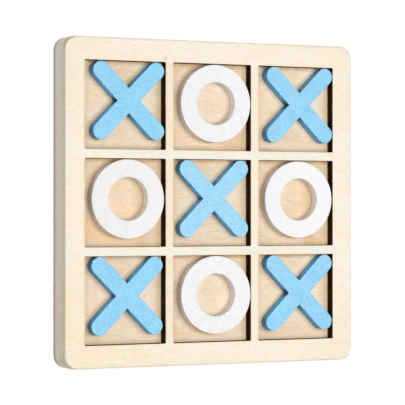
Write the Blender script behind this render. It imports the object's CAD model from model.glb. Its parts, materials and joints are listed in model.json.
import json
import math

import bpy
from mathutils import Matrix, Vector


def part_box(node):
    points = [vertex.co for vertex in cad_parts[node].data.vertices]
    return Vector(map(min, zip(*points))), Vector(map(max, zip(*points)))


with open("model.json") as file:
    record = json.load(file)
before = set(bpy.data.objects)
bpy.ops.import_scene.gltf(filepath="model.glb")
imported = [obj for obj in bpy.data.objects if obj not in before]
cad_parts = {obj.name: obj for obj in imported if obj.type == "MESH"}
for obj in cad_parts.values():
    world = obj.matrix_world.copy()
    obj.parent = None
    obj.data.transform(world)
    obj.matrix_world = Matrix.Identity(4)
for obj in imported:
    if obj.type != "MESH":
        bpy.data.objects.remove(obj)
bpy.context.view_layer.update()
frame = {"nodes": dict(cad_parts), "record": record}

# A wooden noughts-and-crosses board lying on a white floor. Metres, in the CAD model's own frame:
# +Z is up out of the face, +X is to the right and +Y to the top edge for someone who reads the face.
BOARD_LOW, BOARD_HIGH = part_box("base_panel")
FRAME_LOW, FRAME_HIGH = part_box("grid_frame")
BOARD_SIDE = BOARD_HIGH.x - BOARD_LOW.x
FLOOR_OF_CELLS = FRAME_LOW.z
FACE = FRAME_HIGH.z

# The frame's grid, as it is cut in the sheet
RIM_WIDTH = 0.0104
BAR_WIDTH = 0.004
CELLS_PER_SIDE = 3
CELL_SIDE = (BOARD_SIDE - 2 * RIM_WIDTH - (CELLS_PER_SIDE - 1) * BAR_WIDTH) / CELLS_PER_SIDE
CELL_PITCH = CELL_SIDE + BAR_WIDTH

# The materials work in millimetres, though object coordinates are in metres. Places are measured
# from the board's middle, or from the middle of the cell they are in.
MM = 1000.0
HALF_CELL = MM * CELL_SIDE / 2
HALF_PITCH = MM * CELL_PITCH / 2
HALF_GRID = HALF_PITCH * CELLS_PER_SIDE
PIECE_MIDDLE = (1.4, 1.9)  # about where in its cell the middle of a cross or a ring lies

# Where a tone starts to change, and where the change is complete
BAR_EDGE = (1.9, 3.2)  # from a bar's middle
OUTER_CELLS = (15.0, 30.0)  # from the board's middle
RIGHT_OF_CROSS = (13.0, 18.0)  # from a cell's middle

RELIEF_DEPTH = 0.02  # of the bump in the wood and in the paint
NOISE_RANGE = (0.3, 0.7)  # where nearly all the values of a noise lie

# Three tones that each kind of wood varies between. All colours are linear.
FRAME_TONES = ((0.785, 0.703, 0.593), (0.776, 0.680, 0.548), (0.760, 0.712, 0.625))
PANEL_TONES = ((0.742, 0.615, 0.470), (0.712, 0.560, 0.392), (0.742, 0.578, 0.402))
SIDE_TONES = ((0.800, 0.722, 0.608), (0.790, 0.710, 0.592), (0.796, 0.718, 0.602))

# Marks in the wood, nearly all left by the laser
TOASTED = (0.758, 0.648, 0.465)
SINGED = (0.46, 0.32, 0.18)
SPECK = (0.40, 0.27, 0.11)
GRAIN_LINE = (0.52, 0.35, 0.19)
SMOKED = (0.60, 0.37, 0.17)
FOOT_LINE = (0.10, 0.045, 0.02)
KNOT = (0.56, 0.28, 0.11)

# Walls and sides at their foot, in the middle and at their top
CHARRED = ((0.075, 0.028, 0.008), (0.018, 0.006, 0.002), (0.062, 0.020, 0.010))
BLUE_SIDE = ((0.185, 0.345, 0.375), (0.108, 0.440, 0.780), (0.045, 0.345, 0.690))
WHITE_SIDE = ((0.60, 0.37, 0.20), (1.0, 0.850, 0.740), (0.820, 0.775, 0.745))

# Other tones of the paints: the two that a top varies between, and the two in the pieces' hollows
BLUE_TOP = ((0.276, 0.553, 0.742), (0.221, 0.520, 0.734))
WHITE_TOP = ((0.688, 0.690, 0.688), (0.724, 0.720, 0.724))
BLUE_NOTCH = (0.008, 0.085, 0.150)
WHITE_HOLE = (0.740, 0.715, 0.700)

# Small dark marks in the wood: x, y, radius and strength
RIM_SPECKS = (
    (-40.0, 71.8, 0.55, 0.85),
    (-40.3, 70.0, 0.35, 0.45),
    (-24.6, 66.7, 2.1, 0.24),
    (-24.2, 65.9, 0.8, 0.35),
)
PANEL_KNOT = (-32.8, -42.8, 1.0, 0.6)

# The staged floor and the light
STAGE_SIDE = 120 * BOARD_SIDE
STAGE_GAP = 0.0001  # below the board's underside
STAGE_GREY = 0.8  # as the object sees it
WORLD_STRENGTH = 0.20
LAMP_DISTANCE = 6.0 * BOARD_SIDE

# The camera, as fitted to the photo. From straight above the face it is swung to the left by the
# tilt, and to the top edge by the dip.
CAMERA_TILT = math.radians(26.98)
CAMERA_DIP = math.radians(-0.262)
CAMERA_DISTANCE = 6.403 * BOARD_SIDE
CAMERA_AIM = Vector((-0.0351 * BOARD_SIDE, 0.0011 * BOARD_SIDE, FACE))
SENSOR_WIDTH = 36.0  # millimetres, as is the focal length
FOCAL_LENGTH = 184.44
CAMERA_REACH = 100.0  # metres


class Surface:
    """A procedural material under construction. Each method adds nodes and returns their output."""

    def __init__(self, name, roughness, specular):
        self.material = bpy.data.materials.new(name)
        self.material.use_nodes = True
        self.tree = self.material.node_tree
        self.shader = self.tree.nodes["Principled BSDF"]
        self.shader.inputs["Roughness"].default_value = roughness
        self.shader.inputs["Specular IOR Level"].default_value = specular
        coordinates = self.tree.nodes.new("ShaderNodeTexCoord")
        self.normal = coordinates.outputs["Normal"]
        self.place = self.vector_math("SCALE", coordinates.outputs["Object"], scale=MM)
        self.x, self.y, self.z = self.split(self.place)

    def connect(self, socket, value):
        """Feeds a socket from another node's output, or sets it to a plain value."""
        if isinstance(value, bpy.types.NodeSocket):
            self.tree.links.new(value, socket)
        else:
            socket.default_value = value

    def math(self, operation, a, b=0.0, c=0.0):
        node = self.tree.nodes.new("ShaderNodeMath")
        node.operation = operation
        for socket, value in zip(node.inputs, (a, b, c)):
            self.connect(socket, value)
        return node.outputs[0]

    def product(self, first, *others):
        for other in others:
            first = self.math("MULTIPLY", first, other)
        return first

    def absolute(self, value):
        return self.math("ABSOLUTE", value)

    def length(self, x, y):
        return self.math("SQRT", self.math("ADD", self.product(x, x), self.product(y, y)))

    def vector_math(self, operation, a, b=None, scale=None):
        node = self.tree.nodes.new("ShaderNodeVectorMath")
        node.operation = operation
        self.connect(node.inputs[0], a)
        if b is not None:
            self.connect(node.inputs[1], b)
        if scale is not None:
            self.connect(node.inputs["Scale"], scale)
        return node.outputs[0]

    def split(self, vector):
        node = self.tree.nodes.new("ShaderNodeSeparateXYZ")
        self.connect(node.inputs[0], vector)
        return node.outputs[0], node.outputs[1], node.outputs[2]

    def noise(self, vector, scale, detail=3.0, roughness=0.5, distortion=0.0):
        """Noise from 0 to 1 whose blobs are about 1/scale millimetres across."""
        node = self.tree.nodes.new("ShaderNodeTexNoise")
        self.connect(node.inputs["Vector"], vector)
        node.inputs["Scale"].default_value = scale
        node.inputs["Detail"].default_value = detail
        node.inputs["Roughness"].default_value = roughness
        node.inputs["Distortion"].default_value = distortion
        return node.outputs["Fac"]

    def moved(self, *offset):
        """The place shifted, for a noise that differs from the one at the place itself."""
        return self.vector_math("ADD", self.place, offset)

    def along_grain(self, stretch, offset):
        """The place drawn out along X, so that noise on it runs with the grain."""
        return self.vector_math("MULTIPLY", self.moved(*offset), (1 / stretch, 1.0, 1.0))

    def up_wall(self, squeeze):
        """The place squeezed along Z, so that noise on it makes upright streaks."""
        return self.vector_math("MULTIPLY", self.place, (1.0, 1.0, squeeze))

    def span(self, value, low, high, to_low, to_high, smooth=True):
        """Value carried from low..high to to_low..to_high, and held at both ends."""
        node = self.tree.nodes.new("ShaderNodeMapRange")
        node.interpolation_type = "SMOOTHSTEP" if smooth else "LINEAR"
        node.clamp = True
        for socket, number in zip(node.inputs, (value, low, high, to_low, to_high)):
            self.connect(socket, number)
        return node.outputs[0]

    def rise(self, value, low, high, top=1.0):
        """0 where value is under low, top where it is over high, and smooth between them."""
        return self.span(value, low, high, 0.0, top)

    def fall(self, value, low, high, top=1.0):
        """Top where value is under low, 0 where it is over high, and smooth between them."""
        return self.span(value, low, high, top, 0.0)

    def vary(self, noise, low, high):
        """From low to high, as the noise goes."""
        return self.span(noise, *NOISE_RANGE, low, high, smooth=False)

    def mix(self, amount, a, b, blend="MIX"):
        node = self.tree.nodes.new("ShaderNodeMix")
        node.data_type = "RGBA"
        node.blend_type = blend
        self.connect(node.inputs[0], amount)
        for socket, value in ((node.inputs[6], a), (node.inputs[7], b)):
            colour = (*value, 1.0) if isinstance(value, tuple) else value
            self.connect(socket, colour)
        return node.outputs[2]

    def tint(self, amount, colour, factors):
        """Colour with its red, green and blue multiplied by the factors, where amount is 1."""
        return self.mix(amount, colour, factors, "MULTIPLY")

    def shade(self, colour, factor):
        """Colour made lighter or darker by a factor that varies from place to place."""
        node = self.tree.nodes.new("ShaderNodeCombineXYZ")
        for socket in node.inputs:
            self.connect(socket, factor)
        return self.tint(1.0, colour, node.outputs[0])

    def up_facing(self, low=0.35, high=0.8):
        """1 on faces that look up, 0 on walls."""
        return self.rise(self.split(self.normal)[2], low, high)

    def spot(self, x, y, radius, strength):
        """Strength in the middle of one soft mark on the board's face or floor, 0 outside it."""
        away = self.length(self.math("SUBTRACT", self.x, x), self.math("SUBTRACT", self.y, y))
        wobble = self.noise(self.place, 1.1, 2.0, 0.6)
        reach = self.math("ADD", away, self.product(wobble, radius))
        return self.product(self.fall(reach, radius * 0.6, radius * 1.5), strength)

    def finish(self, colour, relief):
        """Sets the colour, and a bump from the relief."""
        self.connect(self.shader.inputs["Base Color"], colour)
        node = self.tree.nodes.new("ShaderNodeBump")
        node.inputs["Strength"].default_value = 1.0
        node.inputs["Distance"].default_value = RELIEF_DEPTH / MM
        self.connect(node.inputs["Height"], relief)
        self.connect(self.shader.inputs["Normal"], node.outputs[0])
        return self.material


def above_floor(s):
    """Height above the cells' floor."""
    return s.math("SUBTRACT", s.z, MM * FLOOR_OF_CELLS)


def in_cell(s):
    """Where a place is across X and across Y, from the middle of its own cell."""
    return [s.math("WRAP", coordinate, HALF_PITCH, -HALF_PITCH) for coordinate in (s.x, s.y)]


def from_cell_wall(s):
    """How far inside a cell's walls a place is, across X and across Y; under 0 on the frame."""
    inside = []
    for coordinate in (s.x, s.y):
        held = s.math("MINIMUM", s.math("MAXIMUM", coordinate, -HALF_GRID), HALF_GRID)
        inside.append(s.math("SUBTRACT", HALF_CELL, s.math("PINGPONG", held, HALF_PITCH)))
    return inside


def from_piece_middle(s):
    """Distance from about the middle of the cross or ring that lies in the same cell."""
    away = [s.math("SUBTRACT", here, middle) for here, middle in zip(in_cell(s), PIECE_MIDDLE)]
    return s.length(*away)


def ring_cells(s):
    """1 in the four cells that hold the rings, 0 in the five that hold the crosses."""
    turn = math.pi / (2 * HALF_PITCH)
    waves = [s.math("COSINE", s.product(coordinate, turn)) for coordinate in (s.x, s.y)]
    return s.math("LESS_THAN", s.product(*waves), 0.0)


def wood_colour(s, tones, seed, streak):
    """Straight-grained pale wood, its grain along X: soft clouds of three tones, and fine fibres.

    Streak is how much darker the darkest fibres are. Returns the colour and a height for the bump."""
    base, second, third = tones
    bands = s.noise(s.along_grain(3.5, (seed, seed, seed)), 0.24, 3.0, 0.6, 0.8)
    clouds = s.noise(s.moved(seed, 0.0, seed), 0.11, 3.0, 0.6)
    fibres = s.noise(s.along_grain(14.0, (seed, 0.0, 0.0)), 2.4, 3.0, 0.6)
    mottle = s.noise(s.along_grain(2.2, (0.0, seed, 0.0)), 0.9, 3.0, 0.65)
    colour = s.mix(s.rise(bands, 0.38, 0.62), base, second)
    colour = s.mix(s.product(s.rise(clouds, 0.42, 0.68), 0.8), colour, third)
    streaks = [s.vary(noise, 1 - streak, 1 + streak) for noise in (fibres, mottle)]
    colour = s.shade(colour, s.product(*streaks))
    relief = s.math("ADD", fibres, s.product(mottle, 0.4))
    return colour, relief


def end_grain(s, colour):
    """Darkens the left and right sides, where the fibres are cut across, and cools them towards the
    top edge. The sanded round above the left side is darker still."""
    leftward = s.product(s.split(s.normal)[0], -1.0)
    sideways = s.absolute(leftward)
    cooler = s.product(s.rise(sideways, 0.45, 0.95), s.rise(s.y, 35.0, 65.0))
    colour = s.tint(cooler, colour, (1.020, 1.030, 1.070))
    rounded = s.product(s.rise(leftward, 0.0, 0.17), s.fall(leftward, 0.80, 0.98))
    rounded = s.product(rounded, s.up_facing(0.0, 0.2), 0.40)
    flat = s.span(sideways, 0.45, 0.95, 1.0, 0.765)
    return s.shade(colour, s.product(flat, s.math("SUBTRACT", 1.0, rounded)))


def face_tones(s, colour):
    """The face's broad tones: bars along X cooler, outer corners and parts of two rims yellower, and
    the first upright bar duller."""
    across_x, across_y = s.absolute(s.x), s.absolute(s.y)
    off_bar = s.absolute(s.math("SUBTRACT", across_y, HALF_PITCH))
    on_bar = s.product(s.fall(off_bar, *BAR_EDGE), s.fall(across_x, 58.0, 68.0))
    colour = s.tint(on_bar, colour, (0.950, 1.010, 1.045))

    corner = s.math("ADD", across_x, across_y)
    for coordinate in (s.x, s.y):
        corner = s.math("SUBTRACT", corner, s.product(coordinate, 0.2))
    colour = s.tint(s.rise(corner, 92.0, 152.0), colour, (0.987, 0.960, 0.897))

    low_rim = s.product(s.fall(s.y, -72.0, -58.0), s.fall(s.x, 5.0, 45.0))
    right_rim = s.product(s.rise(s.x, 60.0, 70.0), s.rise(s.y, 20.0, 50.0))
    yellower = s.math("MAXIMUM", low_rim, right_rim)
    colour = s.tint(yellower, colour, (0.996, 0.976, 0.945))

    off_first_bar = s.absolute(s.math("ADD", s.x, HALF_PITCH))
    first_bar = s.product(s.fall(off_first_bar, *BAR_EDGE, 0.6), s.fall(across_y, 62.0, 66.0))
    first_bar = s.product(first_bar, s.rise(off_bar, *BAR_EDGE))
    return s.tint(first_bar, colour, (0.942, 0.939, 0.918))


def toasted_edges(s, colour, inside_x, inside_y):
    """Yellow-brown from the laser's heat beside the cells' edges. The left and right edges also have
    a thin singed line, and the marks there fade towards the right-hand rim."""
    off_rim = s.fall(s.x, -10.0, 50.0)
    beside_x = s.product(s.rise(inside_x, -2.6, -0.2), s.rise(inside_y, 0.0, 3.0), off_rim)
    beside_y = s.product(s.rise(inside_y, -1.6, -0.1), s.rise(inside_x, 0.0, 3.0), 0.45)
    toast = s.product(s.math("MAXIMUM", beside_x, beside_y), 0.8)
    colour = s.mix(toast, colour, TOASTED)
    uneven = s.span(s.noise(s.place, 0.12, 2.0), 0.35, 0.65, 0.25, 0.9)
    singed = s.product(s.rise(inside_x, -0.45, -0.1), s.rise(inside_y, -0.2, 0.4), off_rim, uneven)
    return s.mix(singed, colour, SINGED)


def charred_walls(s, colour, inside_x, inside_y):
    """Nearly black cell walls, browner at the foot and at the top, with upright streaks."""
    foot, middle, top = CHARRED
    height = above_floor(s)
    char = s.mix(s.rise(height, 0.2, 1.4), foot, middle)
    char = s.mix(s.rise(height, 2.8, 4.8), char, top)
    char = s.shade(char, s.vary(s.noise(s.up_wall(0.12), 2.2, 3.0, 0.6), 0.6, 1.4))
    wall = s.math("SUBTRACT", 1.0, s.up_facing())
    inside = s.math("MINIMUM", inside_x, inside_y)
    in_grid = s.span(inside, -1.0, -0.4, 0.0, 1.0, smooth=False)
    return s.mix(s.product(wall, in_grid), colour, char)


def frame_wood():
    """Bare pale sheet with its grain along X, and laser-charred walls round the cells."""
    s = Surface("frame_wood", roughness=0.75, specular=0.05)
    colour, relief = wood_colour(s, FRAME_TONES, seed=3.0, streak=0.042)
    colour = face_tones(s, colour)
    inside = from_cell_wall(s)
    colour = toasted_edges(s, colour, *inside)
    for speck in RIM_SPECKS:
        colour = s.mix(s.spot(*speck), colour, SPECK)
    colour = end_grain(s, colour)
    colour = charred_walls(s, colour, *inside)
    return s.finish(colour, relief)


def cell_tones(s, colour):
    """The broad tones of the cells' floors, which differ from cell to cell."""
    x, y = in_cell(s)
    across_x = s.absolute(s.x)
    ring = ring_cells(s)
    cross = s.product(s.math("SUBTRACT", 1.0, ring), s.rise(y, -15.0, -7.0))

    # With the crosses: pale to the right of them, and lighter to the left and in the right column
    pale = s.product(s.rise(x, 4.0, 10.0), s.fall(x, *RIGHT_OF_CROSS, 0.75), cross)
    colour = s.mix(pale, colour, (0.800, 0.690, 0.545))
    at_left = s.product(s.fall(x, -10.0, -3.0), s.span(across_x, *OUTER_CELLS, 0.3, 1.0))
    right_column = s.product(s.rise(s.x, 22.0, 30.0, 0.7), s.fall(x, *RIGHT_OF_CROSS))
    lighter = s.product(s.math("MAXIMUM", at_left, right_column), cross)
    colour = s.tint(lighter, colour, (1.080, 1.070, 1.090))

    # With the rings: paler in the holes of the middle column, golden to the right of the others
    hole = s.product(s.fall(from_piece_middle(s), 8.0, 11.0), s.fall(across_x, 15.0, 20.0), ring)
    colour = s.tint(hole, colour, (0.990, 1.030, 1.100))
    golden = s.product(s.rise(x, 3.5, 9.5), s.span(x, 11.0, 14.0, 0.75, 0.25))
    golden = s.product(golden, s.span(across_x, *OUTER_CELLS, 0.1, 1.0), ring)
    colour = s.mix(golden, colour, (0.635, 0.445, 0.260))

    # Stains low in the middle left cell, and low at the right in the top centre one
    low = s.product(s.fall(y, -14.0, -4.0), s.rise(y, -19.0, -17.0))
    stain = s.product(low, s.fall(s.x, -46.0, -28.0, 0.8), ring)
    colour = s.mix(stain, colour, (0.755, 0.515, 0.300))
    stain = s.product(s.fall(y, -14.0, -6.0, 0.45), s.rise(x, 2.0, 9.0), s.rise(s.y, 22.0, 24.0))
    colour = s.mix(s.product(stain, ring), colour, (0.640, 0.440, 0.240))

    # Clean beside every right-hand wall
    clean = s.rise(x, HALF_CELL - 2.6, HALF_CELL - 0.3, 0.8)
    return s.mix(clean, colour, (0.920, 0.725, 0.450))


def grain_lines(s, colour):
    """Thin brown lines along the grain, stronger in some places than in others."""
    lines = s.noise(s.along_grain(10.0, (40.0, 0.0, 0.0)), 1.1, 2.0, 0.6)
    grainy = s.noise(s.moved(15.0, 0.0, 0.0), 0.035, 1.0)
    amount = s.product(s.rise(lines, 0.54, 0.68, 0.24), s.span(grainy, 0.42, 0.6, 0.3, 1.0))
    return s.mix(amount, colour, GRAIN_LINE)


def smoke(s, colour):
    """Brown left by the laser: a wide band at each cell's left side, a dense one below its upper
    wall, and less at the other two."""
    x, y = in_cell(s)
    # Each wall's axis and side, the smoke's strength, and how far out it is dense and ends
    walls = (
        (y, 1.0, 0.72, 0.6, 2.5),
        (x, 1.0, 0.14, 0.6, 3.4),
        (y, -1.0, 0.20, 0.6, 3.0),
        (x, -1.0, 0.26, 2.6, 5.0),
    )
    amount = 0.0
    for coordinate, side, strength, dense, end in walls:
        to_wall = s.math("SUBTRACT", HALF_CELL, s.product(coordinate, side))
        amount = s.math("MAXIMUM", amount, s.fall(to_wall, dense, end, strength))
    uneven = s.span(s.noise(s.place, 0.3, 2.0), *NOISE_RANGE, 0.6, 1.2)
    return s.mix(s.product(amount, uneven), colour, SMOKED)


def panel_sides(s):
    """The panel's outer sides, darker towards the underside."""
    colour, _ = wood_colour(s, SIDE_TONES, seed=7.0, streak=0.02)
    colour = s.shade(colour, s.span(s.z, 1.2, 3.8, 0.50, 1.0))
    return end_grain(s, colour)


def panel_wood():
    """The panel under the frame: a little darker and warmer on the cells' floors, and browned there
    by smoke."""
    s = Surface("panel_wood", roughness=0.75, specular=0.05)
    colour, relief = wood_colour(s, PANEL_TONES, seed=11.0, streak=0.05)
    colour = cell_tones(s, colour)
    colour = grain_lines(s, colour)
    colour = smoke(s, colour)
    _, inside_y = from_cell_wall(s)
    colour = s.mix(s.fall(inside_y, 0.1, 0.35, 0.75), colour, FOOT_LINE)
    colour = s.mix(s.spot(*PANEL_KNOT), colour, KNOT)
    colour = s.mix(s.up_facing(), panel_sides(s), colour)
    return s.finish(colour, relief)


def streaked(s, side, lowest, highest):
    """The paint on a laser-cut side, uneven in upright streaks."""
    streaks = s.noise(s.up_wall(0.15), 2.0, 2.0, 0.6)
    return s.shade(side, s.vary(streaks, lowest, highest))


def blue_paint():
    """Light sky-blue paint over sheet wood; thinner and deeper on the laser-cut sides, and darkest
    in the notches between a cross's arms."""
    s = Surface("blue_paint", roughness=0.5, specular=0.3)
    outer_rows = s.rise(s.absolute(s.y), *OUTER_CELLS)
    coat = s.product(outer_rows, s.span(s.x, -30.0, 30.0, 1.0, 0.7))
    clouds = s.noise(s.place, 0.22, 2.0)
    coat = s.math("ADD", coat, s.span(clouds, 0.35, 0.65, -0.2, 0.2))
    top = s.mix(s.math("MAXIMUM", coat, 0.0), *BLUE_TOP)
    speckle = s.noise(s.place, 1.7, 3.0, 0.75)
    patches = s.vary(s.noise(s.place, 0.6, 3.0, 0.6), 0.94, 1.06)
    top = s.shade(top, s.product(s.vary(speckle, 0.80, 1.20), patches))

    foot, middle, upper = BLUE_SIDE
    height = above_floor(s)
    side = s.mix(s.rise(height, 0.2, 2.2), foot, middle)
    side = s.mix(s.rise(height, 2.4, 4.8), side, upper)
    side = streaked(s, side, 0.85, 1.12)
    side = s.mix(s.fall(from_piece_middle(s), 5.6, 8.6), side, BLUE_NOTCH)
    return s.finish(s.mix(s.up_facing(0.25, 0.7), side, top), speckle)


def white_paint():
    """White paint over sheet wood; creamier on the laser-cut sides, with a brown lower edge."""
    s = Surface("white_paint", roughness=0.5, specular=0.3)
    clouds = s.noise(s.place, 0.3, 4.0, 0.65)
    top = s.mix(s.rise(clouds, 0.35, 0.65), *WHITE_TOP)
    speckle = s.noise(s.place, 1.7, 3.0, 0.75)
    rightward = s.span(s.x, -60.0, 60.0, 0.955, 1.045, smooth=False)
    top = s.shade(top, s.product(s.vary(speckle, 0.92, 1.08), rightward))

    foot, middle, upper = WHITE_SIDE
    height = above_floor(s)
    outside = s.mix(s.rise(height, 1.5, 4.5), middle, upper)
    side = s.mix(s.rise(s.length(*in_cell(s)), 13.0, 15.0), WHITE_HOLE, outside)
    side = s.mix(s.rise(height, 0.1, 0.6), foot, side)
    side = streaked(s, side, 0.88, 1.08)
    return s.finish(s.mix(s.up_facing(0.25, 0.7), side, top), speckle)


def dress_nodes():
    """Gives every CAD node the material of its slot in the record."""
    makers = {
        "frame_wood": frame_wood,
        "panel_wood": panel_wood,
        "blue_paint": blue_paint,
        "white_paint": white_paint,
    }
    made = {slot: make() for slot, make in makers.items()}
    for subpart in frame["record"]["subparts"]:
        node = frame["nodes"][subpart["node"]]
        node.data.materials.clear()
        node.data.materials.append(made[subpart["material_slot"]])


def floor_material():
    """Pale grey to the object, and plain white to the camera."""
    material = bpy.data.materials.new("studio_floor")
    material.use_nodes = True
    tree = material.node_tree
    tree.nodes.clear()
    output = tree.nodes.new("ShaderNodeOutputMaterial")
    mix = tree.nodes.new("ShaderNodeMixShader")
    diffuse = tree.nodes.new("ShaderNodeBsdfDiffuse")
    glow = tree.nodes.new("ShaderNodeEmission")
    path = tree.nodes.new("ShaderNodeLightPath")
    diffuse.inputs["Color"].default_value = (STAGE_GREY, STAGE_GREY, STAGE_GREY, 1.0)
    glow.inputs["Color"].default_value = (1.0, 1.0, 1.0, 1.0)
    tree.links.new(path.outputs["Is Camera Ray"], mix.inputs[0])
    tree.links.new(diffuse.outputs[0], mix.inputs[1])
    tree.links.new(glow.outputs[0], mix.inputs[2])
    tree.links.new(mix.outputs[0], output.inputs[0])
    return material


def add_floor():
    """A plain white floor, bright enough to the eye to show no edge and no shadow."""
    mesh = bpy.data.meshes.new("studio_floor")
    reach = STAGE_SIDE / 2
    height = BOARD_LOW.z - STAGE_GAP
    corners = [(x * reach, y * reach, height) for x, y in ((-1, -1), (1, -1), (1, 1), (-1, 1))]
    mesh.from_pydata(corners, [], [(0, 1, 2, 3)])
    mesh.materials.append(floor_material())
    floor = bpy.data.objects.new("studio_floor", mesh)
    bpy.context.scene.collection.objects.link(floor)


def add_lamp(name, direction, spread, share):
    """A round soft lamp. Spread is its angular radius from the face, in degrees. Share is the light
    it throws on a surface turned to it, where 1 is what a white surface needs to look white."""
    direction = Vector(direction).normalized()
    radius = LAMP_DISTANCE * math.tan(math.radians(spread))
    lamp = bpy.data.lights.new(name, "AREA")
    lamp.shape = "DISK"
    lamp.size = 2 * radius
    lamp.energy = share * math.pi**2 * (LAMP_DISTANCE**2 + radius**2)
    thing = bpy.data.objects.new(name, lamp)
    bpy.context.scene.collection.objects.link(thing)
    thing.location = Vector((0, 0, FACE)) + direction * LAMP_DISTANCE
    thing.rotation_mode = "QUATERNION"
    thing.rotation_quaternion = direction.to_track_quat("Z", "Y")


def add_light():
    """Even white light all round, and soft lamps overhead, on the right and low on the left."""
    world = bpy.data.worlds.new("studio")
    bpy.context.scene.world = world
    world.use_nodes = True
    background = world.node_tree.nodes["Background"]
    background.inputs["Color"].default_value = (1.0, 1.0, 1.0, 1.0)
    background.inputs["Strength"].default_value = WORLD_STRENGTH
    add_lamp("overhead", direction=(-0.02, -0.04, 1.0), spread=24.0, share=0.815)
    add_lamp("key", direction=(0.47, 0.0, 0.88), spread=6.0, share=0.18)
    add_lamp("fill", direction=(-1.0, 0.15, 0.33), spread=16.0, share=0.25)


def add_camera():
    """Looks down at the face from the left, with the board's top edge at the top of the picture."""
    sideways, overhead = -math.sin(CAMERA_TILT), math.cos(CAMERA_TILT)
    level = math.cos(CAMERA_DIP)
    back = Vector((sideways * level, math.sin(CAMERA_DIP), overhead * level))
    right = Vector((0, 1, 0)).cross(back).normalized()
    up = back.cross(right)
    data = bpy.data.cameras.new("camera")
    data.sensor_width = SENSOR_WIDTH
    data.lens = FOCAL_LENGTH
    data.clip_end = CAMERA_REACH
    camera = bpy.data.objects.new("camera", data)
    bpy.context.scene.collection.objects.link(camera)
    turn = Matrix((right, up, back)).transposed().to_4x4()
    camera.matrix_world = Matrix.Translation(CAMERA_AIM + back * CAMERA_DISTANCE) @ turn
    bpy.context.scene.camera = camera


bpy.context.scene.view_settings.view_transform = "Standard"
dress_nodes()
add_floor()
add_light()
add_camera()
